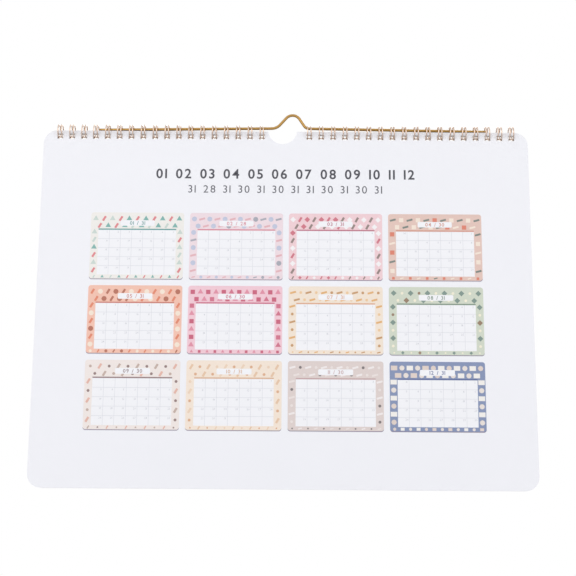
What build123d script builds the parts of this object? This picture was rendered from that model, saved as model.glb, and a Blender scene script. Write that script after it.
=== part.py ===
from build123d import *
import os
from math import acos, atan2, ceil, cos, hypot, pi, radians, sin, sqrt, tan

# A landscape wall calendar, bound along its top edge with twin-loop wire and hung on a bent wire hanger.
# Millimetres, +Z up, +X to the right, and the back cover faces -Y.
# The origin is the point under the hanger's hump that bears on the nail.

# Sheets
sheet_width = 345.0
sheet_height = 252.0
sheet_corner_radius = 9.5
cover_thickness = 0.35
leaf_thickness = 0.12
leaf_count = 12
spine_gap = 0.05  # air between the wire's spine and the sheets on either side of it
cover_gap = 0.15  # air between the pages and the front cover, for its top edge to turn past them
notch_radius = 10.2
notch_depth = 9.3
notch_shift = 2.05  # how far the notch lies to the left of the sheet's middle

# Twin-loop wire
wire_diameter = 0.9
ring_inner_diameter = 8.6
loop_pitch = 25.4 / 3
loop_edge_margin = 9.0  # least distance from the last loop to the sheet's side
strand_spacing_low = 2.7  # between a loop's two strands where they pass the holes
strand_spacing_top = 2.0
tip_angle = 28.0  # degrees that the closed tips stop short of the ring's lowest point
spine_bend_radius = 0.8

# Holes
hole_height = 4.0
hole_margin = 2.2  # paper between the holes and the sheet's top edge
hole_side_clearance = 0.25
wire_drop_clearance = 0.9  # below the wire, to the hole's lower edge

# Hanger
hanger_diameter = 2.0
hanger_clearance = 0.35  # between the loops and the arms where they leave the hump
foot_clearance = 0.05  # between the first loop and the hump's foot, which carries it
hanger_end_margin = 34.1  # from half the sheet's width to half the hanger's
hanger_offset = 4.9  # how far the hanger has slid to the right of the sheets' middle
arm_droop = 1.8  # how much lower the hanger's ends are than the feet of its hump
hump_height = 9.9
hump_left_reach = 15.0
hump_right_reach = 12.1
hump_top_radius = 5.9
hump_left_foot_radius = 8.0
hump_right_foot_radius = 4.5

# Print on the back cover
ink_thickness = 0.04
day_counts = (31, 28, 31, 30, 31, 30, 31, 31, 30, 31, 30, 31)
columns = 4
column_gap = 4.2
row_gap = 4.7
pictures_side_margin = 35.4
pictures_bottom_margin = 39.4
pictures_drop = 60.4  # from the sheet's top edge to the first row
pictures_offset = 0.8  # to the right of the sheet's middle
picture_corner_radius = 1.9
border_side = 5.4
border_top = 12.6
border_bottom = 2.9
shadow_drop = 0.55
grid_columns = 7
grid_rows = 5
grid_line = 0.22
header_line = 0.9
label_width = 24.0
label_height = 4.0
label_corner_radius = 0.9
label_drop = 7.6  # from the picture's top edge to the label's middle
motif_size = 3.8
bottom_motif_size = 2.3
motif_rows_drop = (4.4, 9.5)  # from the picture's top edge to the two rows of the upper border
motif_end_inset = 0.4  # from the picture's sides to where its rows of motifs begin

# Heading
months_line_drop = 31.6  # from the sheet's top edge to the line's middle
months_line_length = 183.0
months_line_height = 7.2
months_line_stroke = 1.35
days_line_drop = 42.8
days_line_length = 137.0
days_line_height = 5.5
days_line_stroke = 0.75
numeral_width_share = 0.62  # of a numeral's height

# Derived sizes
wire_radius = wire_diameter / 2
hanger_radius = hanger_diameter / 2
ring_radius = ring_inner_diameter / 2 + wire_radius
pages_thickness = leaf_thickness * leaf_count
hole_width = strand_spacing_low + wire_diameter + 2 * hole_side_clearance
hanger_reach = sheet_width / 2 - hanger_end_margin
months = len(day_counts)
rows = ceil(months / columns)
picture_width = (sheet_width - 2 * pictures_side_margin + column_gap) / columns - column_gap
picture_height = (sheet_height - pictures_drop - pictures_bottom_margin + row_gap) / rows - row_gap
panel_width = picture_width - 2 * border_side
panel_height = picture_height - border_top - border_bottom

# Derived heights, from the nail down
hump_apex = hanger_radius
arm_top = hump_apex - hump_height
ring_middle = arm_top - (ring_inner_diameter / 2 - hanger_radius - hanger_clearance)
hole_bottom = ring_middle - ring_radius - wire_radius - wire_drop_clearance
hole_middle = hole_bottom + hole_height / 2
sheet_top = hole_bottom + hole_height + hole_margin
sheet_middle_z = sheet_top - sheet_height / 2

# Derived depths, from the back cover towards +Y
sheet_middle_x = -hanger_offset
spine_y = -spine_bend_radius
cover_inner_face = spine_y - wire_radius - spine_gap
cover_outer_face = cover_inner_face - cover_thickness
pages_face = spine_y + wire_radius + spine_gap
pages_back = pages_face + pages_thickness
front_cover_outer_face = pages_back + cover_gap + cover_thickness

# Loops, counted in pitches from the sheet's middle: the first clears the hanger's hump and the notch.
# A strand may stand over the end of a foot, as far as the foot has risen by less than the loops' slack
foot_rise = hanger_clearance - foot_clearance
left_foot_overlap = sqrt(foot_rise * (2 * hump_left_foot_radius - foot_rise))
right_foot_overlap = sqrt(foot_rise * (2 * hump_right_foot_radius - foot_rise))
left_hump_reach = hump_left_reach - left_foot_overlap - hanger_offset
right_hump_reach = hump_right_reach - right_foot_overlap + hanger_offset
hump_half_gap = max(left_hump_reach, right_hump_reach) + strand_spacing_top / 2 + wire_radius
notch_half_gap = notch_radius + notch_shift + hole_width / 2
first_loop = ceil(max(hump_half_gap, notch_half_gap) / loop_pitch)
last_loop = int((sheet_width / 2 - loop_edge_margin) / loop_pitch)
loop_places_right = [sheet_middle_x + n * loop_pitch for n in range(first_loop, last_loop + 1)]
loop_places_left = [sheet_middle_x - n * loop_pitch for n in range(last_loop, first_loop - 1, -1)]


def upright(y):
    """The drawing plane of a sheet at depth y: X to the right, Z up, solids grow towards -Y."""
    return Plane(origin=(0, y, 0), x_dir=(1, 0, 0), z_dir=(0, -1, 0))


def sheet_outline():
    """A sheet with rounded corners, one square hole a loop and the half-round notch in its top edge."""
    blank = RectangleRounded(sheet_width, sheet_height, sheet_corner_radius)
    hole = Rectangle(hole_width, hole_height)
    holes = [Pos(x, hole_middle) * hole for x in loop_places_left + loop_places_right]
    notch_middle = Pos(sheet_middle_x - notch_shift, sheet_top + notch_radius - notch_depth)
    notch = notch_middle * Circle(notch_radius)
    return Pos(sheet_middle_x, sheet_middle_z) * blank - holes - notch


def sheet(back_face, thickness):
    """A sheet, or a stack of them, whose face towards +Y is at back_face."""
    return extrude(upright(back_face) * sheet_outline(), amount=thickness)


def strand_point(loop_x, side, turn):
    """A point on one strand of a loop, turned from the ring's lowest point towards +Y and over the top.

    The strand is a circle in a plane that leans so that the two strands stand closer at the top.
    """
    low = Vector(loop_x + side * strand_spacing_low / 2, 0, ring_middle - ring_radius)
    high = Vector(loop_x + side * strand_spacing_top / 2, 0, ring_middle + ring_radius)
    centre = (low + high) * 0.5
    down = low - centre
    return centre + down * cos(turn) + Vector(0, down.length * sin(turn), 0)


def strand_direction(loop_x, side, turn):
    """The strand's unit tangent at that turn."""
    quarter = pi / 2
    centre = (strand_point(loop_x, side, 0) + strand_point(loop_x, side, pi)) * 0.5
    return (strand_point(loop_x, side, turn + quarter) - centre).normalized()


def tip_arc(loop_x, tip_turn):
    """The hairpin that joins a loop's two strands, tangent to both."""
    start = strand_point(loop_x, -1, tip_turn)
    end = strand_point(loop_x, 1, tip_turn)
    tangent = strand_direction(loop_x, -1, tip_turn)
    forward = Vector(0, tangent.Y, tangent.Z)
    lean = atan2(-tangent.X, forward.length)
    half_width = loop_x - start.X
    reach = half_width * (tan(lean) + 1 / cos(lean))
    apex = (start + end) * 0.5 + forward.normalized() * reach
    return ThreePointArc(start, apex, end)


def spine_bend(strand_foot, towards):
    """The quarter bend from a strand's foot into the spine, which runs along X."""
    bend_share = 1 - cos(pi / 4)
    middle = strand_foot + Vector(towards * bend_share, -sin(pi / 4), 0) * spine_bend_radius
    end = strand_foot + Vector(towards, -1, 0) * spine_bend_radius
    return strand_foot, middle, end


def binding_wire(loop_places):
    """One length of wire: over as a strand, round the tip, back as a strand, along to the next loop."""
    tip_turn = 2 * pi - radians(tip_angle)
    edges = []
    for number, loop_x in enumerate(loop_places):
        rising = [strand_point(loop_x, -1, turn) for turn in (0, tip_turn / 2, tip_turn)]
        falling = [strand_point(loop_x, 1, turn) for turn in (tip_turn, tip_turn / 2, 0)]
        bend_in = spine_bend(rising[0], -1)
        bend_out = spine_bend(falling[-1], 1)
        if number > 0:
            edges.append(Line(edges[-1] @ 1, bend_in[2]))
        edges.append(ThreePointArc(*reversed(bend_in)))
        edges.append(ThreePointArc(*rising))
        edges.append(tip_arc(loop_x, tip_turn))
        edges.append(ThreePointArc(*falling))
        edges.append(ThreePointArc(*bend_out))
    path = Wire(edges)
    start = Plane(origin=path @ 0, z_dir=path % 0)
    return sweep(sections=start * Circle(wire_radius), path=path)


def flank_angle(reach, foot_radius):
    """The slope, in radians, of the straight flank between the hump's top and foot arcs."""
    arcs = hump_top_radius + foot_radius
    return atan2(reach, arcs - hump_height) - acos(arcs / hypot(reach, arcs - hump_height))


def hanger_side(reach, foot_radius, side):
    """Points of the centre line on one side: arm end, foot arc's end, middle and start, top arc's end."""
    slope = flank_angle(reach, foot_radius)
    arm_slope = atan2(arm_droop, hanger_reach - reach)
    foot_centre = Vector(side * reach, 0, arm_top + foot_radius)
    foot_arc = [
        foot_centre - Vector(side * sin(turn), 0, cos(turn)) * foot_radius
        for turn in (arm_slope, (slope + arm_slope) / 2, slope)
    ]
    top_centre = Vector(0, 0, hump_apex - hump_top_radius)
    top_end = top_centre + Vector(side * sin(slope), 0, cos(slope)) * hump_top_radius
    arm_end = Vector(side * hanger_reach, 0, arm_top - arm_droop)
    return [arm_end, *foot_arc, top_end]


def hanger():
    """The round wire with its hump, its ends cut square."""
    left = hanger_side(hump_left_reach, hump_left_foot_radius, -1)
    right = hanger_side(hump_right_reach, hump_right_foot_radius, 1)
    path = Wire([
        Line(left[0], left[1]),
        ThreePointArc(left[1], left[2], left[3]),
        Line(left[3], left[4]),
        ThreePointArc(left[4], Vector(0, 0, hump_apex), right[4]),
        Line(right[4], right[3]),
        ThreePointArc(right[3], right[2], right[1]),
        Line(right[1], right[0]),
    ])
    start = Plane(origin=path @ 0, z_dir=path % 0)
    return sweep(sections=start * Circle(hanger_radius), path=path)


def ink(drawing, layer=0):
    """A drawing printed on the back cover, on the card itself or on earlier layers of ink."""
    return extrude(upright(cover_outer_face - layer * ink_thickness) * drawing, amount=ink_thickness)


def picture_place(month):
    """The middle of a month's picture, as X and Z."""
    column = (month - 1) % columns
    row = (month - 1) // columns
    x = sheet_middle_x + pictures_offset + (column - (columns - 1) / 2) * (picture_width + column_gap)
    z = sheet_top - pictures_drop - picture_height / 2 - row * (picture_height + row_gap)
    return x, z


def picture_blank():
    return RectangleRounded(picture_width, picture_height, picture_corner_radius)


def date_panel():
    """The white window for the dates, placed in the picture."""
    return Pos(0, (border_bottom - border_top) / 2) * Rectangle(panel_width, panel_height)


def picture_shadow():
    """The thin dark rim under a picture: its outline, lowered, less the outline itself."""
    return Pos(0, -shadow_drop) * picture_blank() - picture_blank()


def date_columns():
    """The upright lines between the days."""
    pitch = panel_width / grid_columns
    middle = picture_height / 2 - border_top - panel_height / 2
    line = Rectangle(grid_line, panel_height)
    return Sketch() + [Pos(pitch * (n - grid_columns / 2), middle) * line for n in range(1, grid_columns)]


def date_rows():
    """The level lines between the weeks."""
    pitch = panel_height / grid_rows
    panel_top = picture_height / 2 - border_top
    line = Rectangle(panel_width, grid_line)
    return Sketch() + [Pos(0, panel_top - pitch * n) * line for n in range(1, grid_rows)]


def label():
    blank = RectangleRounded(label_width, label_height, label_corner_radius)
    return Pos(0, picture_height / 2 - label_drop) * blank


def header():
    """The coloured line along the top of the date panel."""
    return Pos(0, picture_height / 2 - border_top + header_line / 2) * Rectangle(panel_width, header_line)


def spaced(length, pitch, shift=0.0):
    """Places centred along a length, about a pitch apart, with a stagger as a share of the pitch."""
    count = max(2, int(length // pitch))
    step = length / count
    return [step * (n + 0.5 + shift) - length / 2 for n in range(count) if n + 0.5 + shift <= count]


def motif_spots(pitch):
    """The middle and size of each motif in a border: two rows above, one each side, one below."""
    top = picture_height / 2
    reach = picture_width - 2 * motif_end_inset
    upper, lower = (top - drop for drop in motif_rows_drop)
    bottom = border_bottom / 2 - top
    side = (picture_width - border_side) / 2
    side_length = lower - bottom - motif_size
    side_middle = (lower + bottom) / 2
    spots = [(x, upper, motif_size) for x in spaced(reach, pitch)]
    spots += [(x, lower, motif_size) for x in spaced(reach, pitch, 0.5)[:-1]]
    spots += [(x, side_middle + z, motif_size) for x in (-side, side) for z in spaced(side_length, pitch)]
    spots += [(x, bottom, bottom_motif_size) for x in spaced(reach, pitch)]
    return spots


def four_sided(width, height, turn=0):
    """A rectangular motif, its width and height as shares of the motif's size."""
    return lambda size: Rot(0, 0, turn) * Rectangle(width * size, height * size)


def many_sided(radius, sides, turn=0):
    """A regular motif, the radius of its corners as a share of the motif's size."""
    return lambda size: RegularPolygon(radius=radius * size, side_count=sides, rotation=turn)


diamond = four_sided(width=0.75, height=0.75, turn=45)
block = four_sided(width=0.8, height=0.8)
bar = four_sided(width=1.0, height=0.4, turn=60)
dash = four_sided(width=1.1, height=0.35, turn=15)
tile = four_sided(width=1.15, height=0.85)
wedge = many_sided(radius=0.6, sides=3, turn=90)
spot = many_sided(radius=0.48, sides=8)
small_spot = many_sided(radius=0.28, sides=6)

# Each month's main motif, its second motif and the pitch of its border
month_designs = (
    (wedge, bar, 5.4),
    (spot, dash, 5.0),
    (diamond, bar, 4.8),
    (dash, block, 5.6),
    (bar, spot, 5.0),
    (block, wedge, 5.2),
    (dash, small_spot, 5.0),
    (diamond, small_spot, 5.4),
    (small_spot, bar, 6.2),
    (bar, small_spot, 5.6),
    (dash, small_spot, 5.2),
    (tile, spot, 5.2),
)

# The bars of each numeral: top, middle and bottom, then left and right of the upper and lower halves
numeral_bars = {
    "0": "TBabcd",
    "1": "bd",
    "2": "TMBbc",
    "3": "TMBbd",
    "4": "Mabd",
    "5": "TMBad",
    "6": "TMBacd",
    "7": "Tbd",
    "8": "TMBabcd",
    "9": "TMBabd",
}


def numeral(digit, width, height, stroke):
    """A numeral made of straight bars, centred on its middle."""
    across = (width - stroke) / 2
    level = (height - stroke) / 2
    long_bar = Rectangle(width, stroke)
    half_bar = Rectangle(stroke, (height + stroke) / 2)
    bars = {
        "T": Pos(0, level) * long_bar,
        "M": long_bar,
        "B": Pos(0, -level) * long_bar,
        "a": Pos(-across, level / 2) * half_bar,
        "b": Pos(across, level / 2) * half_bar,
        "c": Pos(-across, -level / 2) * half_bar,
        "d": Pos(across, -level / 2) * half_bar,
    }
    return Sketch() + [bars[name] for name in numeral_bars[digit]]


def numeral_line(words, drop, length, height, stroke):
    """Words of numerals in one centred line of a stated length; a space takes a numeral's place."""
    text = " ".join(words)
    width = height * numeral_width_share
    pitch = (length - width) / (len(text) - 1)
    start = Pos(sheet_middle_x - (length - width) / 2, sheet_top - drop)
    line = [
        start * Pos(n * pitch, 0) * numeral(digit, width, height, stroke)
        for n, digit in enumerate(text)
        if digit != " "
    ]
    return Sketch() + line


def repeated(drawing):
    """The same drawing in every month's picture."""
    return Sketch() + [Pos(*picture_place(month)) * drawing for month in range(1, months + 1)]


def month_nodes(month):
    """A month's coloured border with its main and second motifs, which run under the label."""
    main, second, pitch = month_designs[month - 1]
    place = Pos(*picture_place(month))
    spots = motif_spots(pitch)
    field = picture_blank() - date_panel()
    mains = [Pos(x, z) * main(size) for x, z, size in spots[0::2]]
    seconds = [Pos(x, z) * second(size) for x, z, size in spots[1::2]]
    name = f"month_{month:02d}"
    return {
        f"{name}_border": ink(place * field),
        f"{name}_main_motifs": ink(place * (Sketch() + mains + header() - label()), layer=1),
        f"{name}_second_motifs": ink(place * (Sketch() + seconds - label()), layer=1),
    }


def calendar():
    """Every node of the calendar by its name."""
    month_words = [f"{month:02d}" for month in range(1, months + 1)]
    day_words = [str(days) for days in day_counts]
    nodes = {
        "hanger": hanger(),
        "binding_wire_left": binding_wire(loop_places_left),
        "binding_wire_right": binding_wire(loop_places_right),
        "back_cover": sheet(cover_inner_face, cover_thickness),
        "month_pages": sheet(pages_back, pages_thickness),
        "front_cover": sheet(front_cover_outer_face, cover_thickness),
        "picture_shadows": ink(repeated(picture_shadow())),
        "date_panels": ink(repeated(date_panel())),
        "date_columns": ink(repeated(date_columns()), layer=1),
        "date_rows": ink(repeated(date_rows()), layer=2),
        "label_plates": ink(repeated(label()), layer=1),
        "heading_month_numbers": ink(numeral_line(
            month_words, months_line_drop, months_line_length, months_line_height, months_line_stroke)),
        "heading_day_numbers": ink(numeral_line(
            day_words, days_line_drop, days_line_length, days_line_height, days_line_stroke)),
    }
    for month in range(1, months + 1):
        nodes.update(month_nodes(month))
    return nodes


os.makedirs("parts", exist_ok=True)
for node, solid in calendar().items():
    export_step(solid, f"parts/{node}.step")
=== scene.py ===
from math import acos, atan2, cos, hypot, pi, radians, sin

import bpy
import numpy as np
from mathutils import Euler, Matrix, Vector


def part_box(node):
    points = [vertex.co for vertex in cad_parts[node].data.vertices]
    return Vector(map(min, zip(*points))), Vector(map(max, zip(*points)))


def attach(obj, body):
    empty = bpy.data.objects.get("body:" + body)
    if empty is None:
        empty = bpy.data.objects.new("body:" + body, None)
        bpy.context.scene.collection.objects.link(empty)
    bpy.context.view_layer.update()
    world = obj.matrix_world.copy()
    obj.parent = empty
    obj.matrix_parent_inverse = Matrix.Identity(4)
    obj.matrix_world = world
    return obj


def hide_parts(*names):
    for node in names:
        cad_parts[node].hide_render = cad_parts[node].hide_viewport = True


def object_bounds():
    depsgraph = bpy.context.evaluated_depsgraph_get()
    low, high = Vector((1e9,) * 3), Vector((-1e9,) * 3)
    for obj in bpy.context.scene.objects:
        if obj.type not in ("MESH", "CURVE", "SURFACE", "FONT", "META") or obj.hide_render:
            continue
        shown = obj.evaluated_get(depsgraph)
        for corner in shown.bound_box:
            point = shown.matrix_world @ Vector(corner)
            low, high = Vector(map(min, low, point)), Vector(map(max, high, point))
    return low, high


# The looks of a wire-bound wall calendar: metres, +Z up, the printed back cover faces -Y.
# The origin is the point under the hanger's hump that bears on the nail.

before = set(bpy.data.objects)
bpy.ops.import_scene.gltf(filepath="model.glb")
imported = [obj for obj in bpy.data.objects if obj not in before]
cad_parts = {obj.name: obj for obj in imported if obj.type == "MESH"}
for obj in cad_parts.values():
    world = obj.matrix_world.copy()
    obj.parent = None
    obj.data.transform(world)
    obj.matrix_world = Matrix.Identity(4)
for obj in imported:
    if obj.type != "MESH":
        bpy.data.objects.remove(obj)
cad_box = [list(corner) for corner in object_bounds()]

MM = 0.001

# Camera, fitted to the sheet's corners in a picture of 576 by 576
PICTURE_SIZE = 576
FOCAL_LENGTH_PIXELS = 1169
SENSOR_WIDTH = 36.0
CAMERA_DISTANCE = 810 * MM
CAMERA_OFFSET = (-2.6 * MM, -11.8 * MM)
CAMERA_TURNS = (radians(-11.49), radians(-0.32), radians(-0.36))
CAMERA_CLIP_START = 10 * MM

# Binding
WIRE_RADIUS = 0.45 * MM
RING_RADIUS = 4.75 * MM
LOOP_PITCH = 25.4 / 3 * MM
STRAND_SPACING_LOW = 2.7 * MM
STRAND_SPACING_TOP = 2.0 * MM
TIP_ANGLE = radians(28)
SPINE_BEND_RADIUS = 0.8 * MM
LOOP_UNEVENNESS = 0.13 * MM
LOOP_EASE_LIMIT = 0.06 * MM  # how far a loop's strands may stand off their even spacing
WIRE_SIDES = 10
LOOP_STATIONS = 44
TIP_STATIONS = 12
BEND_STATIONS = 7
END_ROUND = 0.35  # of a wire's radius, how far its cut end is rounded
END_STATIONS = 4

# Hanger
HANGER_RADIUS = 1.0 * MM
HUMP_HEIGHT = 9.9 * MM
HUMP_LEFT_REACH = 15.0 * MM
HUMP_RIGHT_REACH = 12.1 * MM
HUMP_TOP_RADIUS = 5.9 * MM
HUMP_LEFT_FOOT_RADIUS = 8.0 * MM
HUMP_RIGHT_FOOT_RADIUS = 4.5 * MM
ARM_DROOP = 1.8 * MM
HANGER_SIDES = 20
HUMP_TOP_STATIONS = 14
HUMP_FOOT_STATIONS = 12
ARM_STATIONS = 40

# Sheets
SHEET_CORNER_RADIUS = 9.5 * MM
NOTCH_RADIUS = 10.2 * MM
NOTCH_DEPTH = 9.3 * MM
NOTCH_SHIFT = 2.05 * MM  # to the left of the sheet's middle
HOLE_WIDTH = 4.1 * MM
HOLE_HEIGHT = 4.0 * MM
HOLE_MARGIN = 2.2 * MM
LEAF_COUNT = 12
LEAF_FILL = 0.86  # of a leaf's share of the block that is paper, the rest air
LEAF_SPREAD = 0.35 * MM  # how far the outer leaves stand off at the lower edge
LEAF_SLIP = 0.12 * MM  # how much shorter some leaves are at the lower edge
CORNER_COLUMNS = 9
NOTCH_COLUMNS = 25
EDGE_STEP = 0.01 * MM  # between the rows of points that meet at the notch
HOLE_ROW = 3  # which row of a sheet's cells, from its lower edge, the holes lie in
LOWER_EDGE_FALL = 0.9  # of a leaf's height, below which a shorter leaf's edge rises

# Print
DAYS = (31, 28, 31, 30, 31, 30, 31, 31, 30, 31, 30, 31)
MONTHS = range(1, len(DAYS) + 1)
GRID_COLUMNS = 7
GRID_ROWS = 5
INK = 0.04 * MM
HEADER_LINE = 0.9 * MM
DATE_HEIGHT = 1.4 * MM
DATE_PLACE = (0.78, 0.22)  # of a day's cell, from its upper left corner
LABEL_HEIGHT = 4.0 * MM
LABEL_NUMERAL_HEIGHT = 2.7 * MM
WORD_SPACE = 0.42  # of a numeral's height
DATE_GAP = 0.12  # between numerals, of their height
LABEL_GAP = 0.2
GLYPH_DEPTH = 0.01  # half an outline's thickness, before it gets the ink's
HEADING_BOLD = 0.018
LABEL_BOLD = 0.012
HEADING_FINENESS = 4  # steps in each curve of a numeral's outline
LABEL_FINENESS = 2
DATE_FINENESS = 1
NUMERALS = "0123456789"
MOTIF_SIZE = 3.8 * MM
MOTIF_ROWS_DROP = (4.4 * MM, 9.5 * MM)
MOTIF_ROW_BOTTOM = 1.45 * MM
MOTIF_END_INSET = 0.4 * MM
MOTIF_PITCHES = tuple(pitch * MM for pitch in (5.4, 5.0, 4.8, 5.6, 5.0, 5.2, 5.0, 5.4, 6.2, 5.6, 5.2, 5.2))
THIRD_SHARE = 0.3  # of a month's motifs are in its third colour

# Colours as they are seen, 0 to 255
CARD = (241, 241, 244)
PAPER = (246, 245, 243)
PANEL = (243, 243, 245)
GRID = (222, 223, 228)
SHADOW = (140, 130, 150)
HEADING = (72, 72, 80)
HEADING_LIGHT = (92, 92, 100)
DATE_GREY = (206, 206, 212)
CHAMPAGNE = (226, 203, 184)
CHAMPAGNE_WORN = (176, 150, 134)
HANGER_GOLD = (184, 147, 88)
HANGER_GOLD_WORN = (158, 120, 64)
LAMP_WHITE = (250, 251, 255)
FLOOR = (240, 240, 242)

# Each month's field, header line, main motifs and second motifs, then a third colour for some of the motifs
MONTH_COLOURS = (
    ((245, 242, 236), (96, 158, 154), (128, 182, 174), (226, 136, 140), (206, 220, 212)),
    ((244, 225, 230), (220, 134, 150), (198, 204, 224), (232, 182, 188), (170, 172, 182)),
    ((246, 212, 216), (192, 112, 132), (252, 248, 248), (150, 134, 128), (212, 122, 136)),
    ((233, 202, 190), (216, 150, 130), (124, 136, 128), (226, 134, 112), (250, 234, 218)),
    ((248, 198, 178), (206, 124, 110), (230, 136, 106), (252, 234, 216), (186, 114, 92)),
    ((247, 206, 216), (206, 100, 130), (206, 100, 126), (230, 148, 168), (214, 118, 142)),
    ((249, 234, 216), (226, 172, 140), (232, 180, 118), (243, 206, 160), (204, 158, 110)),
    ((214, 221, 203), (128, 150, 130), (130, 152, 142), (248, 242, 218), (154, 130, 106)),
    ((246, 236, 230), (150, 124, 124), (150, 126, 122), (232, 184, 168), (200, 178, 166)),
    ((250, 234, 217), (222, 178, 144), (236, 202, 170), (226, 178, 142), (242, 216, 190)),
    ((228, 214, 209), (200, 166, 166), (247, 240, 238), (128, 120, 120), (240, 230, 226)),
    ((136, 150, 184), (92, 108, 156), (248, 244, 238), (238, 228, 220), (230, 214, 204)),
)

# Surfaces: how large each texture's lumps are and how deep its bump
CARD_CLOUDS = 60 * MM
CARD_FELT = 0.5 * MM
CARD_FELT_DEPTH = 0.004 * MM
PAPER_CLOUDS = 35 * MM
PAPER_FIBRES = 0.8 * MM
PAPER_FIBRE_DEPTH = 0.01 * MM
FIBRE_STRETCH = (0.35, 1, 1)
INK_MOTTLE = 0.35 * MM
INK_DEPTH = 0.003 * MM
BINDING_LINES = 0.16 * MM
BINDING_LINE_DEPTH = 0.004 * MM
BINDING_STRETCH = (1, 0.4, 0.4)
BINDING_WEAR = 3 * MM
HANGER_LINES = 0.2 * MM
HANGER_LINE_DEPTH = 0.006 * MM
HANGER_STRETCH = (0.08, 1, 0.3)
HANGER_SPOTS = 9 * MM
FLOOR_GRAIN = 8 * MM

# Studio
WORLD_LEVEL = 0.58
# Each lamp's name, its place, the side of its square and its power
LAMPS = (
    ("key_light", (-0.8, -1.4, 0.4), 1.2, 8.7),
    ("fill_light", (1.1, -1.2, 0.25), 1.2, 6.0),
    ("back_light", (0.3, 1.3, 0.8), 1.0, 9.0),
)
FLOOR_DROP = 0.18
FLOOR_HALF = 1.6

chance = np.random.default_rng(12)


def linear(colour):
    """A seen colour, 0 to 255, as the linear light that shaders take."""
    seen = np.array(colour) / 255
    return (*np.where(seen <= 0.04045, seen / 12.92, ((seen + 0.055) / 1.055) ** 2.4).tolist(), 1.0)


class Signal:
    """A number that varies over a surface: an expression on it adds the Math nodes for it."""

    def __init__(self, shading, socket):
        self.shading = shading
        self.socket = socket

    def math(self, operation, first, second):
        return self.shading.node("ShaderNodeMath", {"operation": operation}, {0: first, 1: second})

    def __add__(self, other):
        return self.math("ADD", self, other)

    def __radd__(self, other):
        return self.math("ADD", other, self)

    def __sub__(self, other):
        return self.math("SUBTRACT", self, other)

    def __rsub__(self, other):
        return self.math("SUBTRACT", other, self)

    def __mul__(self, other):
        return self.math("MULTIPLY", self, other)

    def __rmul__(self, other):
        return self.math("MULTIPLY", other, self)

    def __gt__(self, other):
        return self.math("GREATER_THAN", self, other)

    def __lt__(self, other):
        return self.math("LESS_THAN", self, other)

    def cell(self, start, step):
        """Which cell a place lies in, where cells of one step follow on from a start."""
        return self.math("FLOOR", (self - start) * (1 / step), 0.0)


class Shading:
    """The nodes of a material or of the world."""

    def __init__(self, owner):
        owner.use_nodes = True
        self.tree = owner.node_tree
        self.tree.nodes.clear()

    def node(self, kind, settings=None, inputs=None, output=0):
        """A new node: its type, its settings, then the values or links of its sockets.

        An output node has no output of its own, and gives nothing back.
        """
        made = self.tree.nodes.new(kind)
        for name, value in (settings or {}).items():
            setattr(made, name, value)
        for key, value in (inputs or {}).items():
            self.feed(made.inputs[key], value)
        return None if output is None else Signal(self, made.outputs[output])

    def feed(self, socket, value):
        if isinstance(value, Signal):
            self.tree.links.new(value.socket, socket)
        else:
            socket.default_value = value


class Finish(Shading):
    """A material of one principled shader, with whatever varies over the surface feeding it."""

    def __init__(self, name):
        self.material = bpy.data.materials.new(name)
        super().__init__(self.material)
        surface = self.node("ShaderNodeBsdfPrincipled")
        self.node("ShaderNodeOutputMaterial", {}, {"Surface": surface}, output=None)
        self.shader = surface.socket.node

    def set(self, **inputs):
        """Values or links of the shader, its sockets named with underscores for spaces."""
        for name, value in inputs.items():
            self.feed(self.shader.inputs[name.replace("_", " ")], value)
        return self

    def place(self):
        return self.node("ShaderNodeTexCoord", output="Object")

    def along(self, axis):
        """The surface's place along X, Y or Z."""
        return self.node("ShaderNodeSeparateXYZ", {}, {0: self.place()}, output=axis)

    def stretched(self, scale):
        """The surface's place, stretched along each axis by its own share."""
        return self.node("ShaderNodeMapping", {}, {"Vector": self.place(), "Scale": scale})

    def noise(self, size, detail=2.0, scale=None):
        """Cloudy noise about 0.5, its lumps as large as size, in metres."""
        where = self.place() if scale is None else self.stretched(scale)
        inputs = {"Vector": where, "Scale": 1 / size, "Detail": detail}
        return self.node("ShaderNodeTexNoise", {}, inputs)

    def mix(self, share, first, second):
        """Two seen colours, or colour links, mixed by a share that varies."""
        colours = [c if isinstance(c, Signal) else linear(c) for c in (first, second)]
        inputs = {0: share, 6: colours[0], 7: colours[1]}
        return self.node("ShaderNodeMix", {"data_type": "RGBA"}, inputs, output=2)

    def bump(self, height, distance):
        inputs = {"Strength": 1.0, "Distance": distance, "Height": height}
        return self.node("ShaderNodeBump", {}, inputs)


def shade(colour, share):
    """A seen colour made darker by a share."""
    return tuple(part * (1 - share) for part in colour)


def card_finish(name, colour):
    """Coated card: a smooth sheen, faint clouds in its tone and a very fine felt in its surface."""
    finish = Finish(name)
    clouds = finish.noise(CARD_CLOUDS, detail=3)
    felt = finish.noise(CARD_FELT, detail=2)
    finish.set(
        Base_Color=finish.mix(clouds * 0.5 + felt * 0.3, colour, shade(colour, 0.018)),
        Roughness=0.46 + felt * 0.16,
        Normal=finish.bump(felt, CARD_FELT_DEPTH),
        Specular_IOR_Level=0.4,
    )
    return finish.material


def leaf_finish():
    """Uncoated paper: matt, with fibres that lie mostly level."""
    finish = Finish("leaf_paper")
    fibres = finish.noise(PAPER_FIBRES, detail=4, scale=FIBRE_STRETCH)
    clouds = finish.noise(PAPER_CLOUDS)
    finish.set(
        Base_Color=finish.mix(fibres * 0.6 + clouds * 0.4, PAPER, shade(PAPER, 0.03)),
        Roughness=0.72 + fibres * 0.2,
        Normal=finish.bump(fibres, PAPER_FIBRE_DEPTH),
        Specular_IOR_Level=0.25,
    )
    return finish.material


def header_area(finish, month):
    """Where a month's printed header line lies: 1 there, 0 elsewhere."""
    left, right, top = panel_edges(month)
    x = finish.along("X")
    z = finish.along("Z")
    return (x > left) * (x < right) * (z > top) * (z < top + HEADER_LINE)


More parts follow.
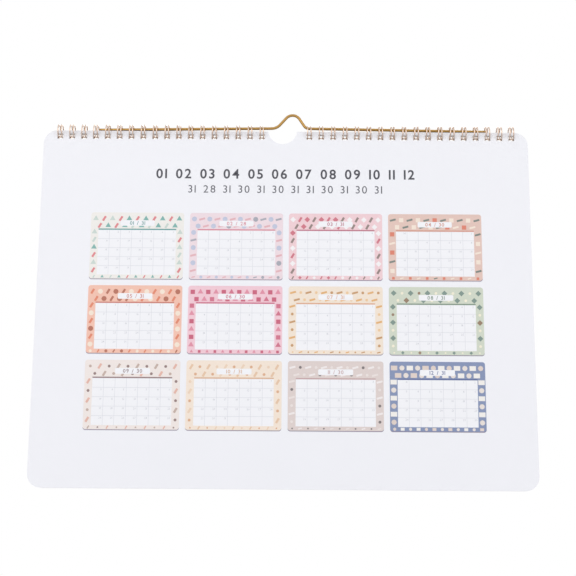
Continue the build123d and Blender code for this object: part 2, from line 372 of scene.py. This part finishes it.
def motif_step(length, month):
    """The step of a month's motifs along a length, which holds a whole number of them."""
    return length / max(2, int(length // MOTIF_PITCHES[month - 1]))


def third_motifs(finish, month):
    """Which of a month's motifs are in its third colour: 1 all over each of those, 0 elsewhere.

    Cells follow the border's layout: upper row, lower row half a step along, a column each side, bottom row.
    """
    low, high = picture_box(month)
    x = finish.along("X")
    z = finish.along("Z")
    upper_row, lower_row = (high.z - drop for drop in MOTIF_ROWS_DROP)
    side_low = low.z + MOTIF_ROW_BOTTOM + MOTIF_SIZE / 2
    side_high = lower_row - MOTIF_SIZE / 2
    upper = z > (upper_row + lower_row) / 2
    beside = z < side_high
    step = motif_step(high.x - low.x - 2 * MOTIF_END_INSET, month)
    stagger = (1 - upper - beside) * (step / 2)
    column = (x - stagger).cell(low.x + MOTIF_END_INSET, step)
    level = z.cell(side_low, motif_step(side_high - side_low, month)) * beside - upper
    place = finish.node("ShaderNodeCombineXYZ", {}, {0: column, 1: level, 2: float(month)})
    drawn = finish.node("ShaderNodeTexWhiteNoise", {"noise_dimensions": "3D"}, {"Vector": place})
    return drawn < THIRD_SHARE


def ink_finish(name, colour, third=None, header=None, month=None):
    """Printed ink: slightly mottled and a little glossier than the card.

    It is of one colour, or with a third colour on some of the motifs and another on the header line.
    """
    finish = Finish(name)
    mottle = finish.noise(INK_MOTTLE, detail=3)

    def printed(ink):
        return finish.mix(mottle * 0.9, ink, shade(ink, 0.09))

    tone = printed(colour)
    if third:
        tone = finish.mix(third_motifs(finish, month), tone, printed(third))
    if header:
        tone = finish.mix(header_area(finish, month), tone, printed(header))
    finish.set(
        Base_Color=tone,
        Roughness=0.4 + mottle * 0.14,
        Normal=finish.bump(mottle, INK_DEPTH),
        Specular_IOR_Level=0.45,
    )
    return finish.material


def binding_finish():
    """Champagne lacquer on drawn steel wire: fine draw lines along the wire and faint wear."""
    finish = Finish("champagne_lacquer")
    lines = finish.noise(BINDING_LINES, detail=2, scale=BINDING_STRETCH)
    wear = finish.noise(BINDING_WEAR, detail=3)
    finish.set(
        Base_Color=finish.mix(wear * 0.8, CHAMPAGNE, CHAMPAGNE_WORN),
        Roughness=0.2 + lines * 0.14,
        Metallic=1.0,
        Normal=finish.bump(lines, BINDING_LINE_DEPTH),
        Coat_Weight=0.35,
        Coat_Roughness=0.1,
    )
    return finish.material


def hanger_finish():
    """Brass-plated steel: satin, with draw lines along the wire and slightly darker handled spots."""
    finish = Finish("hanger_gold")
    lines = finish.noise(HANGER_LINES, detail=3, scale=HANGER_STRETCH)
    spots = finish.noise(HANGER_SPOTS, detail=4)
    finish.set(
        Base_Color=finish.mix(spots * 0.9, HANGER_GOLD, HANGER_GOLD_WORN),
        Roughness=0.26 + lines * 0.16,
        Metallic=1.0,
        Normal=finish.bump(lines, HANGER_LINE_DEPTH),
    )
    return finish.material


def add_piece(name, points, faces, material, smooth=False):
    """A piece whose mesh is in place in the frame: its object stays at the origin."""
    mesh = bpy.data.meshes.new(name)
    mesh.from_pydata(points.tolist(), [], faces.tolist() if isinstance(faces, np.ndarray) else faces)
    mesh.polygons.foreach_set("use_smooth", [smooth] * len(mesh.polygons))
    mesh.materials.append(material)
    mesh.update()
    piece = bpy.data.objects.new(name, mesh)
    bpy.context.scene.collection.objects.link(piece)
    return piece


def tube(path, outward, radius, sides):
    """A closed round bar along a path.

    At each station the section is radius times (outward cos a + across sin a), where across is the path's
    direction turned square to outward. At each end a few stations draw the radius in along a quarter of a
    small circle, and a flat face closes the end.
    """
    direction = np.gradient(path, axis=0)
    direction /= np.linalg.norm(direction, axis=1, keepdims=True)
    across = np.cross(direction, outward)
    across /= np.linalg.norm(across, axis=1, keepdims=True)
    turns = np.linspace(0, pi / 2, END_STATIONS)
    drawn_in = radius * END_ROUND * (1 - np.sin(turns))
    rounded = radius * (1 - END_ROUND * (1 - np.cos(turns)))
    start_points = path[0] + direction[0] * drawn_in[::-1, None]
    end_points = path[-1] - direction[-1] * drawn_in[:, None]
    stations = np.vstack([start_points, path[1:-1], end_points])
    radii = np.concatenate([rounded[::-1], np.full(len(path) - 2, radius), rounded])
    ends = len(turns)
    outs = np.vstack([np.repeat(outward[:1], ends, 0), outward[1:-1], np.repeat(outward[-1:], ends, 0)])
    acrosses = np.vstack([np.repeat(across[:1], ends, 0), across[1:-1], np.repeat(across[-1:], ends, 0)])
    angles = np.linspace(0, 2 * pi, sides, endpoint=False)
    ring = outs[:, None] * np.cos(angles)[None, :, None] + acrosses[:, None] * np.sin(angles)[None, :, None]
    points = stations[:, None] + ring * radii[:, None, None]
    count = len(stations)
    station, side = np.meshgrid(np.arange(count - 1), np.arange(sides), indexing="ij")
    here = station * sides + side
    beside = station * sides + (side + 1) % sides
    quads = np.stack([here, beside, beside + sides, here + sides], axis=-1).reshape(-1, 4)
    caps = [list(range(sides))[::-1], list(range((count - 1) * sides, count * sides))]
    return points.reshape(-1, 3), quads.tolist() + caps


def arc(centre, first, second, turns):
    """Points of centre + first cos t + second sin t."""
    return centre + np.outer(np.cos(turns), first) + np.outer(np.sin(turns), second)


def loop_path(loop_x, ring_middle, lean, spread):
    """One loop's centre line with its outward directions.

    Each strand is a circle about the ring's middle in a plane that leans inward to the top, from the ring's
    lowest point towards +Y and over the top; a half turn joins the strands at the tip, and a quarter bend
    takes each foot into the spine towards -Y.
    """
    tip_turn = 2 * pi - TIP_ANGLE
    turns = np.linspace(0, tip_turn, LOOP_STATIONS)
    half_low = STRAND_SPACING_LOW / 2 + spread
    half_top = STRAND_SPACING_TOP / 2 + spread
    half = (half_low + half_top) / 2 + (half_low - half_top) / 2 * np.cos(turns)
    slide = lean * (1 - np.cos(turns)) / 2
    circle_y = RING_RADIUS * np.sin(turns)
    circle_z = ring_middle - RING_RADIUS * np.cos(turns)
    rising = np.stack([loop_x + slide - half, circle_y, circle_z], axis=1)
    falling = np.stack([loop_x + slide + half, circle_y, circle_z], axis=1)[::-1]
    tip_half = half[-1]
    tip_turns = np.linspace(0, pi, TIP_STATIONS)[1:-1]
    ring_angle = tip_turn + tip_half * np.sin(tip_turns) / RING_RADIUS
    tip = np.stack([
        loop_x + slide[-1] - tip_half * np.cos(tip_turns),
        RING_RADIUS * np.sin(ring_angle),
        ring_middle - RING_RADIUS * np.cos(ring_angle),
    ], axis=1)
    low = ring_middle - RING_RADIUS
    bend_turns = np.linspace(0, pi / 2, BEND_STATIONS)
    bend_y = -SPINE_BEND_RADIUS * np.sin(bend_turns)
    bend_x = SPINE_BEND_RADIUS * (1 - np.cos(bend_turns))
    bend_z = np.full(len(bend_turns), low)
    bend_in = np.stack([loop_x - half[0] - bend_x, bend_y, bend_z], axis=1)[::-1]
    bend_out = np.stack([loop_x + half[0] + bend_x, bend_y, bend_z], axis=1)
    path = np.vstack([bend_in[:-1], rising, tip, falling, bend_out[1:]])
    outward = path * (0, 1, 1) - (0, 0, ring_middle)
    outward[:len(bend_turns) - 1] = (0, 0, -1)
    outward[1 - len(bend_turns):] = (0, 0, -1)
    outward /= np.linalg.norm(outward, axis=1, keepdims=True)
    return path, outward


def loop_places(node):
    """The middles of a binding wire's loops along X."""
    low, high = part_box(node)
    half_loop = STRAND_SPACING_LOW / 2 + SPINE_BEND_RADIUS
    count = round((high.x - low.x - 2 * half_loop) / LOOP_PITCH) + 1
    return low.x + half_loop + np.arange(count) * LOOP_PITCH


def binding_wire(name, material):
    """The loops on one side of the notch, joined by the straight spine between them."""
    low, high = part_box(name)
    ring_middle = (low.z + high.z) / 2
    paths = []
    outwards = []
    for loop_x in loop_places(name):
        lean, spread = chance.normal(0, LOOP_UNEVENNESS, 2)
        ease = np.clip(spread, -LOOP_EASE_LIMIT, LOOP_EASE_LIMIT)
        path, outward = loop_path(loop_x, ring_middle, lean, ease)
        paths.append(path)
        outwards.append(outward)
    points, faces = tube(np.vstack(paths), np.vstack(outwards), WIRE_RADIUS, WIRE_SIDES)
    piece = add_piece(f"{name}_loops", points, faces, material, smooth=True)
    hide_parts(name)
    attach(piece, "bound_block")
    return piece


def hanger_side(reach, foot_radius, side, arm_top, arm_reach):
    """Half the hanger's centre line from the apex: top arc, straight flank, foot arc and drooping arm."""
    arcs = HUMP_TOP_RADIUS + foot_radius
    fall = arcs - HUMP_HEIGHT
    slope = atan2(reach, fall) - acos(arcs / hypot(reach, fall))
    arm_slope = atan2(ARM_DROOP, arm_reach - reach)
    apex = arm_top + HUMP_HEIGHT
    up = np.array([0, 0, 1])
    away = np.array([side, 0, 0])
    top_centre = up * (apex - HUMP_TOP_RADIUS)
    top_turns = np.linspace(0, slope, HUMP_TOP_STATIONS)
    top = arc(top_centre, up * HUMP_TOP_RADIUS, away * HUMP_TOP_RADIUS, top_turns)
    foot_centre = away * reach + up * (arm_top + foot_radius)
    foot_turns = np.linspace(slope, arm_slope, HUMP_FOOT_STATIONS)
    foot = arc(foot_centre, -up * foot_radius, -away * foot_radius, foot_turns)
    end = np.array([side * arm_reach, 0, arm_top - ARM_DROOP])
    steps = np.linspace(0, 1, ARM_STATIONS)[1:, None]
    arm = foot[-1] * (1 - steps) + end * steps
    return np.vstack([top, foot, arm])


def hanger_wire(material):
    """The bent wire, in the plane of its hump."""
    low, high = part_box("hanger")
    arm_top = HANGER_RADIUS - HUMP_HEIGHT
    left = hanger_side(HUMP_LEFT_REACH, HUMP_LEFT_FOOT_RADIUS, -1, arm_top, -low.x)
    right = hanger_side(HUMP_RIGHT_REACH, HUMP_RIGHT_FOOT_RADIUS, 1, arm_top, high.x)
    path = np.vstack([left[::-1], right[1:]])
    outward = np.tile((0.0, -1.0, 0.0), (len(path), 1))
    points, faces = tube(path, outward, HANGER_RADIUS, HANGER_SIDES)
    piece = add_piece("hanger_wire", points, faces, material, smooth=True)
    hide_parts("hanger")
    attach(piece, "hanger")
    return piece


def sheet_columns(left, right, notch_middle, holes):
    """The places along X where a sheet's outline or holes turn, from its left side to its right."""
    corner_turns = np.linspace(0, pi / 2, CORNER_COLUMNS)
    corner = SHEET_CORNER_RADIUS * (1 - np.cos(corner_turns))
    notch_half = (NOTCH_RADIUS ** 2 - (NOTCH_RADIUS - NOTCH_DEPTH) ** 2) ** 0.5
    notch_turn = np.arcsin(notch_half / NOTCH_RADIUS)
    notch = NOTCH_RADIUS * np.sin(np.linspace(-notch_turn, notch_turn, NOTCH_COLUMNS))
    hole_sides = np.concatenate([holes - HOLE_WIDTH / 2, holes + HOLE_WIDTH / 2])
    places = np.concatenate([left + corner, right - corner, notch_middle + notch, hole_sides])
    return np.unique(places.round(8))


def sheet_rows(x, left, right, top, bottom, notch_middle):
    """Heights of a sheet's rows at each column: lower edge, two between, the holes' edges, upper edge.

    The edges drop by r - sqrt(r^2 - d^2) within a corner's radius r of the sides, and the upper edge follows
    the notch's circle where the column crosses it.
    """
    inset = np.maximum(SHEET_CORNER_RADIUS - np.minimum(x - left, right - x), 0)
    drop = SHEET_CORNER_RADIUS - np.sqrt(np.maximum(SHEET_CORNER_RADIUS ** 2 - inset ** 2, 0))
    upper = top - drop
    lower = bottom + drop
    notch_centre = top + NOTCH_RADIUS - NOTCH_DEPTH
    across = np.abs(x - notch_middle)
    inside = across < NOTCH_RADIUS
    notch = notch_centre - np.sqrt(np.maximum(NOTCH_RADIUS ** 2 - across ** 2, 0))
    upper = np.where(inside, np.minimum(upper, notch), upper)
    hole_top = np.minimum(top - HOLE_MARGIN, upper - EDGE_STEP)
    hole_bottom = np.minimum(top - HOLE_MARGIN - HOLE_HEIGHT, upper - 2 * EDGE_STEP)
    third = (hole_bottom - lower) / 3
    return np.stack([lower, lower + third, lower + 2 * third, hole_bottom, hole_top, upper], axis=1)


def slab(front, back, kept):
    """Faces of a plate from two grids of points: both faces where a cell is kept, and walls round them."""
    rows = front.shape[1]
    column, row = np.nonzero(kept)
    corner = column * rows + row
    quads = np.stack([corner, corner + rows, corner + rows + 1, corner + 1], axis=1)
    edges = np.concatenate([quads[:, [n, (n + 1) % 4]] for n in range(4)])
    keys = edges[:, 0] * front.size + edges[:, 1]
    reverse = edges[:, 1] * front.size + edges[:, 0]
    rim = edges[~np.isin(keys, reverse)]
    count = front.shape[0] * rows
    walls = np.stack([rim[:, 1], rim[:, 0], rim[:, 0] + count, rim[:, 1] + count], axis=1)
    faces = np.concatenate([quads, quads[:, ::-1] + count, walls])
    points = np.concatenate([front.reshape(-1, 3), back.reshape(-1, 3)])
    used, packed = np.unique(faces, return_inverse=True)
    return points[used], packed.reshape(-1, 4)


def page_leaves(material):
    """The twelve leaves, one mesh: each a thin plate, loosely fanned towards its lower edge.

    A leaf's depth is its place in the block, plus a spread that grows with the square of the distance below
    the binding, largest on the outer leaves.
    """
    low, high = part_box("month_pages")
    notch_middle = (low.x + high.x) / 2 - NOTCH_SHIFT
    holes = np.concatenate([loop_places("binding_wire_left"), loop_places("binding_wire_right")])
    x = sheet_columns(low.x, high.x, notch_middle, holes)
    rows = sheet_rows(x, low.x, high.x, high.z, low.z, notch_middle)
    centres = (x[1:] + x[:-1]) / 2
    in_hole = np.abs(centres[:, None] - holes[None, :]).min(axis=1) < HOLE_WIDTH / 2
    kept = np.ones((len(x) - 1, rows.shape[1] - 1), bool)
    kept[in_hole, HOLE_ROW] = False
    pitch = (high.y - low.y) / LEAF_COUNT
    thickness = pitch * LEAF_FILL
    all_points = []
    all_faces = []
    start = 0
    for leaf in range(LEAF_COUNT):
        share = (leaf - (LEAF_COUNT - 1) / 2) / (LEAF_COUNT / 2)
        fall = (high.z - rows) / (high.z - low.z)
        slip = min(abs(chance.normal(0, LEAF_SLIP)), 2 * LEAF_SLIP)
        columns = np.repeat(x[:, None], rows.shape[1], 1)
        y = low.y + pitch * leaf + share * LEAF_SPREAD * fall ** 2
        z = rows + np.where(fall > LOWER_EDGE_FALL, slip, 0)
        front = np.stack([columns, y, z], axis=-1)
        back = front + (0, thickness, 0)
        points, faces = slab(front, back, kept)
        all_points.append(points)
        all_faces.append(faces + start)
        start += len(points)
    piece = add_piece("page_leaves", np.vstack(all_points), np.vstack(all_faces), material)
    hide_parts("month_pages")
    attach(piece, "bound_block")
    return piece


def glyphs(characters, bold, fineness):
    """Thin outlines of plain characters as triangles, each with its width.

    Each is a text curve turned into a mesh: its points are scaled so that a numeral is one unit high.
    """
    drawn = {}
    for character in characters:
        curve = bpy.data.curves.new(f"glyph_{ord(character)}", "FONT")
        curve.body = character
        curve.resolution_u = fineness
        curve.offset = bold
        curve.extrude = GLYPH_DEPTH
        holder = bpy.data.objects.new(curve.name, curve)
        bpy.context.scene.collection.objects.link(holder)
        bpy.context.view_layer.update()
        mesh = bpy.data.meshes.new_from_object(holder)
        points = np.zeros(len(mesh.vertices) * 3)
        mesh.vertices.foreach_get("co", points)
        faces = [list(polygon.vertices) for polygon in mesh.polygons]
        drawn[character] = (points.reshape(-1, 3), faces)
        bpy.data.objects.remove(holder)
        bpy.data.curves.remove(curve)
        bpy.data.meshes.remove(mesh)
    tall = drawn["0"][0]
    base = tall[:, 1].min()
    scale = 1 / np.ptp(tall[:, 1])
    return {
        character: ((points - (points[:, 0].min(), base, 0)) * scale, faces, np.ptp(points[:, 0]) * scale)
        for character, (points, faces) in drawn.items()
    }


def written(alphabet, text, height, middle, y, gap, length=None):
    """A centred line of characters on the printed face; a set length widens or narrows the gaps evenly."""
    widths = [alphabet[c][2] if c != " " else WORD_SPACE for c in text]
    if length is not None:
        gap = (length / height - sum(widths)) / (len(text) - 1)
    total = sum(widths) + gap * (len(text) - 1)
    cursor = -total / 2
    points = []
    faces = []
    for character, width in zip(text, widths):
        if character != " ":
            outline, polygons = alphabet[character][:2]
            placed = np.stack([
                middle[0] + (outline[:, 0] + cursor) * height,
                y + np.sign(-outline[:, 2]) * INK / 2,
                middle[1] + (outline[:, 1] - 0.5) * height,
            ], axis=1)
            points.append(placed)
            faces.append(polygons)
        cursor += width + gap
    return points, faces


def joined(parts):
    """Lists of points and faces as one."""
    points = []
    faces = []
    start = 0
    for part_points, part_faces in parts:
        for place, polygons in zip(part_points, part_faces):
            points.append(place)
            faces += [[start + index for index in polygon] for polygon in polygons]
            start += len(place)
    return np.vstack(points), faces


def on_cover(piece, slot, *replaced):
    if replaced:
        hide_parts(*replaced)
    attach(piece, "back_cover")
    return piece


def heading(name, words, node, alphabet, material, slot):
    """A line of numerals as long and as tall as the printed line it stands for."""
    low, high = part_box(node)
    middle = ((low.x + high.x) / 2, (low.z + high.z) / 2)
    depth = (low.y + high.y) / 2
    height = high.z - low.z
    text = " ".join(words)
    line = written(alphabet, text, height, middle, depth, 0, length=high.x - low.x)
    points, faces = joined([line])
    return on_cover(add_piece(name, points, faces, material), slot, node)


def picture_box(month):
    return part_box(f"month_{month:02d}_border")


def panel_edges(month):
    """The left, right and upper edges of a month's date panel."""
    first_low, first_high = picture_box(1)
    panels_low, panels_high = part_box("date_panels")
    side = panels_low.x - first_low.x
    low, high = picture_box(month)
    return low.x + side, high.x - side, high.z - (first_high.z - panels_high.z)


def date_numbers(alphabet, material):
    """The days of every month in its grid, each in the upper right corner of its cell."""
    panels_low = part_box("date_panels")[0]
    foot = panels_low.z - picture_box(MONTHS[-1])[0].z
    depth = panels_low.y
    lines = []
    first_day = 0
    for month, days in zip(MONTHS, DAYS):
        left, right, top = panel_edges(month)
        cell_width = (right - left) / GRID_COLUMNS
        cell_height = (top - picture_box(month)[0].z - foot) / GRID_ROWS
        for day in range(days):
            cell = (first_day + day) % (GRID_COLUMNS * GRID_ROWS)
            column = cell % GRID_COLUMNS
            row = cell // GRID_COLUMNS
            middle_x = left + (column + DATE_PLACE[0]) * cell_width
            middle_z = top - (row + DATE_PLACE[1]) * cell_height
            lines.append(written(alphabet, str(day + 1), DATE_HEIGHT, (middle_x, middle_z), depth, DATE_GAP))
        first_day = (first_day + days) % GRID_COLUMNS
    points, faces = joined(lines)
    return on_cover(add_piece("date_numbers", points, faces, material), "grid_print")


def label_numbers(alphabet, materials):
    """Each month's number and its days on its label."""
    labels_low, labels_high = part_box("label_plates")
    drop = picture_box(1)[1].z - labels_high.z + LABEL_HEIGHT / 2
    for month, days in zip(MONTHS, DAYS):
        low, high = picture_box(month)
        middle = ((low.x + high.x) / 2, high.z - drop)
        text = f"{month:02d} / {days}"
        line = written(alphabet, text, LABEL_NUMERAL_HEIGHT, middle, labels_low.y, LABEL_GAP)
        points, faces = joined([line])
        piece = add_piece(f"label_numbers_{month:02d}", points, faces, materials[month])
        on_cover(piece, f"month_{month:02d}_main_motifs")


def finish_node(node, material):
    """A CAD node keeps its shape and gets its finish."""
    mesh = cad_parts[node].data
    mesh.materials.clear()
    mesh.materials.append(material)


def finish_print():
    """Finishes of the printed areas that keep their shape."""
    finish_node("picture_shadows", ink_finish("shadow_ink", SHADOW))
    panel = card_finish("panel_white", PANEL)
    finish_node("date_panels", panel)
    finish_node("label_plates", panel)
    grid = ink_finish("grid_ink", GRID)
    finish_node("date_columns", grid)
    finish_node("date_rows", grid)
    header_inks = {}
    for month, (field, header, main, second, third) in zip(MONTHS, MONTH_COLOURS):
        name = f"month_{month:02d}"
        finish_node(f"{name}_border", ink_finish(f"{name}_field_ink", field))
        main_ink = ink_finish(f"{name}_main_ink", main, third, header, month)
        second_ink = ink_finish(f"{name}_second_ink", second, third, month=month)
        finish_node(f"{name}_main_motifs", main_ink)
        finish_node(f"{name}_second_motifs", second_ink)
        header_inks[month] = ink_finish(f"{name}_header_ink", header)
    return header_inks


def make_calendar():
    """Every piece of the calendar in its finish."""
    cover = card_finish("cover_card", CARD)
    finish_node("back_cover", cover)
    finish_node("front_cover", cover)
    page_leaves(leaf_finish())
    wire = binding_finish()
    binding_wire("binding_wire_left", wire)
    binding_wire("binding_wire_right", wire)
    hanger_wire(hanger_finish())
    header_inks = finish_print()
    bold = glyphs(NUMERALS, HEADING_BOLD, HEADING_FINENESS)
    plain = glyphs(NUMERALS, 0.0, HEADING_FINENESS)
    small = glyphs(NUMERALS, 0.0, DATE_FINENESS)
    label = glyphs(NUMERALS + "/", LABEL_BOLD, LABEL_FINENESS)
    month_words = [f"{month:02d}" for month in MONTHS]
    day_words = [str(days) for days in DAYS]
    heading("month_numbers", month_words, "heading_month_numbers", bold,
            ink_finish("heading_ink", HEADING), "heading_print")
    heading("day_numbers", day_words, "heading_day_numbers", plain,
            ink_finish("heading_light_ink", HEADING_LIGHT), "heading_light_print")
    date_numbers(small, ink_finish("date_ink", DATE_GREY))
    label_numbers(label, header_inks)


def add_camera():
    """The camera at the photograph's viewing angle, worked out from the sheet's turn in front of it."""
    low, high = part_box("back_cover")
    sheet_axes = Matrix(((1, 0, 0), (0, 0, -1), (0, 1, 0)))
    sheet_turn = Euler(CAMERA_TURNS, "XYZ").to_matrix()
    axes = sheet_axes @ sheet_turn.transposed()
    sheet_middle = Vector(((low.x + high.x) / 2, low.y, (low.z + high.z) / 2))
    place = sheet_middle + axes @ Vector((-CAMERA_OFFSET[0], -CAMERA_OFFSET[1], CAMERA_DISTANCE))
    data = bpy.data.cameras.new("camera")
    data.sensor_width = SENSOR_WIDTH
    data.lens = FOCAL_LENGTH_PIXELS / PICTURE_SIZE * SENSOR_WIDTH
    data.clip_start = CAMERA_CLIP_START
    camera = bpy.data.objects.new("camera", data)
    camera.matrix_world = Matrix.Translation(place) @ axes.to_4x4()
    bpy.context.scene.collection.objects.link(camera)
    bpy.context.scene.camera = camera


def area_light(name, place, size, power):
    """A square lamp that looks at the calendar's middle."""
    data = bpy.data.lights.new(name, "AREA")
    data.shape = "SQUARE"
    data.size = size
    data.energy = power
    light = bpy.data.objects.new(name, data)
    middle = (Vector(cad_box[0]) + Vector(cad_box[1])) / 2
    light.location = place
    light.rotation_euler = (middle - Vector(place)).to_track_quat("-Z", "Y").to_euler()
    bpy.context.scene.collection.objects.link(light)


def white_world():
    """Soft light from all round, and plain white where the camera, a gloss or a clear surface sees it."""
    world = bpy.data.worlds.new("studio")
    sky = Shading(world)
    lit = sky.node("ShaderNodeBackground", {}, {"Color": linear(LAMP_WHITE), "Strength": WORLD_LEVEL})
    seen = sky.node("ShaderNodeBackground", {}, {"Color": (1, 1, 1, 1), "Strength": 1.0})
    rays = [
        sky.node("ShaderNodeLightPath", output=ray)
        for ray in ("Is Camera Ray", "Is Glossy Ray", "Is Transmission Ray")
    ]
    shown = sky.node("ShaderNodeMixShader", {}, {0: rays[0] + rays[1] + rays[2], 1: lit, 2: seen})
    sky.node("ShaderNodeOutputWorld", {}, {"Surface": shown}, output=None)
    bpy.context.scene.world = world


def pale_floor():
    finish = Finish("floor_white")
    grain = finish.noise(FLOOR_GRAIN)
    finish.set(Base_Color=finish.mix(grain, FLOOR, shade(FLOOR, 0.025)), Roughness=0.8)
    level = cad_box[0][2] - FLOOR_DROP
    corners = np.array([(-1, -1), (1, -1), (1, 1), (-1, 1)]) * FLOOR_HALF
    points = np.column_stack([corners, np.full(len(corners), level)])
    add_piece("floor", points, [[0, 1, 2, 3]], finish.material)


def add_studio():
    """A pale floor below, a white world, and soft lamps at a plain level."""
    white_world()
    pale_floor()
    for lamp in LAMPS:
        area_light(*lamp)


make_calendar()
add_camera()
add_studio()
bpy.context.scene.view_settings.view_transform = "Standard"
